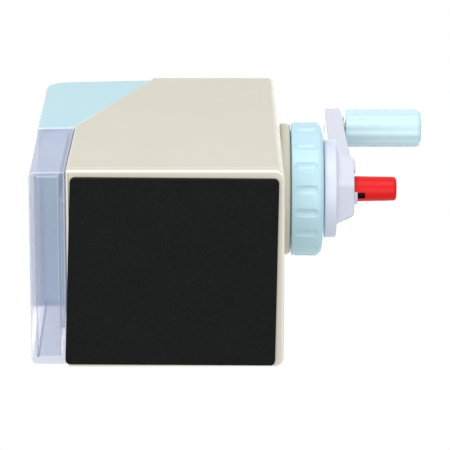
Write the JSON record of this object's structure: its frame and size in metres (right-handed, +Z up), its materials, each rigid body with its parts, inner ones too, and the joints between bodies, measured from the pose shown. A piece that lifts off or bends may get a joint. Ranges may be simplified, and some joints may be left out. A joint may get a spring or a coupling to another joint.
{
  "type": "pencil sharpener",
  "caption": "Hand-crank desk pencil sharpener: tapered housing, pull-out shavings drawer, twist-lock collar, and a crank with a turning grip and a point adjuster.",
  "frame": {"origin": "centre of the foam mat's lower face, on the table", "axes": "+Z up, +X from the pencil hole towards the crank, +Y to the side"},
  "size_m": [0.1314, 0.066, 0.1407],
  "materials": {
    "beige_plastic": "satin moulded plastic",
    "cyan_plastic": "smooth pale cyan plastic",
    "lavender_translucent": "translucent lavender plastic",
    "ice_translucent": "translucent pale blue plastic",
    "white_plastic": "smooth white plastic",
    "red_plastic": "glossy red plastic",
    "black_foam": "fine matt foam",
    "steel": "bright zinc-plated steel",
    "tool_steel": "ground tool steel",
    "zinc": "die-cast zinc",
    "gear_nylon": "natural nylon"
  },
  "bodies": {
    "body": {"housing": "beige_plastic", "head_cover": "cyan_plastic", "base_plate": "beige_plastic", "foam_mat": "black_foam", "pencil_guide": "steel", "entry_bezel": "white_plastic", "base_screw_1": "steel", "base_screw_2": "steel", "base_screw_3": "steel", "base_screw_4": "steel", "head_screw_1": "steel", "head_screw_2": "steel"},
    "drawer": {"drawer": "lavender_translucent"},
    "collar": {"collar": "ice_translucent", "ring_gear": "gear_nylon"},
    "crank": {"crank": "white_plastic", "carrier": "zinc", "cutter_shaft": "steel", "shaft_clip": "steel", "crank_screw_1": "steel", "crank_screw_2": "steel", "grip_pin": "steel", "pin_washer": "steel", "adjuster_spring": "steel"},
    "cutter": {"cutter": "tool_steel", "cutter_pinion": "steel"},
    "grip": {"grip": "ice_translucent"},
    "tip_stop": {"tip_stop": "steel"},
    "knob": {"adjuster_knob": "red_plastic"}
  },
  "joints": [
    {"name": "drawer_slide", "type": "slide", "parent": "body", "child": "drawer", "axis": [-1, 0, 0], "range_m": [0, 0.055]},
    {"name": "collar_lock", "type": "hinge", "parent": "body", "child": "collar", "pos_m": [0.0376, 0, 0.0821], "axis": [1, 0, 0], "range_deg": [0, 40]},
    {"name": "crank_turn", "type": "hinge", "parent": "collar", "child": "crank", "pos_m": [0.05, 0, 0.0821], "axis": [1, 0, 0], "continuous": true},
    {"name": "cutter_spin", "type": "hinge", "parent": "crank", "child": "cutter", "pos_m": [0.0278, 0.00061, 0.07607], "axis": [0.9833, -0.0184, 0.1813], "continuous": true},
    {"name": "grip_spin", "type": "hinge", "parent": "crank", "child": "grip", "pos_m": [0.058, -0.00525, 0.13384], "axis": [1, 0, 0], "continuous": true},
    {"name": "tip_slide", "type": "slide", "parent": "crank", "child": "tip_stop", "axis": [-1, 0, 0], "range_m": [0, 0.002], "deforming": ["adjuster_spring"]},
    {"name": "knob_turn", "type": "hinge", "parent": "tip_stop", "child": "knob", "pos_m": [0.06, 0, 0.0821], "axis": [1, 0, 0], "range_deg": [0, 90]}
  ],
  "couplings": [
    {"joint": "cutter_spin", "follows": "crank_turn", "ratio": -2.8571},
    {"joint": "knob_turn", "follows": "tip_slide", "rad_per_m": 785.3}
  ]
}
